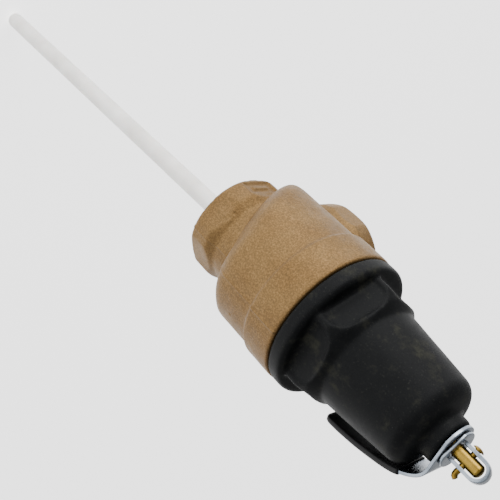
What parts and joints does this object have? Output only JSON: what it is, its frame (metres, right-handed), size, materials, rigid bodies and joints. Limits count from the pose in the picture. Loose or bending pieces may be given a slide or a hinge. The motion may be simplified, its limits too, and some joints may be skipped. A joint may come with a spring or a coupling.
{
  "type": "temperature and pressure relief valve",
  "caption": "Spring-loaded water heater relief valve: cast body with a side outlet, long thermostat probe, black bonnet and a manual test lever.",
  "frame": {"origin": "centre of the inlet collar's end face, on the valve's axis", "axes": "+Z along the valve's axis from the probe to the test lever, +X out of the discharge outlet, the lever's arm towards -Y"},
  "size_m": [0.055, 0.0512, 0.2894],
  "materials": {
    "bronze": "shot-blasted casting",
    "white_polymer": "satin coating",
    "copper": "drawn tube",
    "wax": "soft wax",
    "rubber": "moulded",
    "brass": "turned",
    "steel": "plain",
    "black_moulding": "moulded, slightly dusty",
    "zinc_steel": "bright zinc plate",
    "black_vinyl": "dip-moulded"
  },
  "bodies": {
    "valve": {"valve_body": "bronze", "probe_coating": "white_polymer", "probe_tube": "copper", "wax_charge": "wax", "rod_seal": "rubber", "probe_flange": "brass", "thermostat_holder": "brass", "holder_circlip": "steel", "diaphragm": "rubber", "clamp_ring": "brass", "upper_spring_plate": "steel", "main_spring": "steel", "bonnet": "black_moulding", "stem_bush": "brass"},
    "stem": {"stem": "brass", "seat_disc": "rubber", "disc_screw": "brass", "disc_holder": "brass", "lower_spring_plate": "steel", "saddle_washer": "zinc_steel", "bail": "zinc_steel", "cross_pin": "brass"},
    "lever": {"lever": "zinc_steel", "lever_grip": "black_vinyl"},
    "push_rod": {"push_rod": "steel"}
  },
  "joints": [
    {"name": "lever_pull", "type": "hinge", "parent": "valve", "child": "lever", "pos_m": [0, 0.007, 0.1057], "axis": [-1, 0, 0], "range_deg": [0, 22]},
    {"name": "stem_lift", "type": "slide", "parent": "valve", "child": "stem", "axis": [0, 0, 1], "range_m": [0, 0.0053], "deforming": ["main_spring", "diaphragm"]},
    {"name": "rod_travel", "type": "slide", "parent": "valve", "child": "push_rod", "axis": [0.021, 0.03, 0.9993], "range_m": [0, 0.0012]}
  ],
  "couplings": [
    {"joint": "lever_pull", "follows": "stem_lift", "rad_per_m": 72.4}
  ]
}
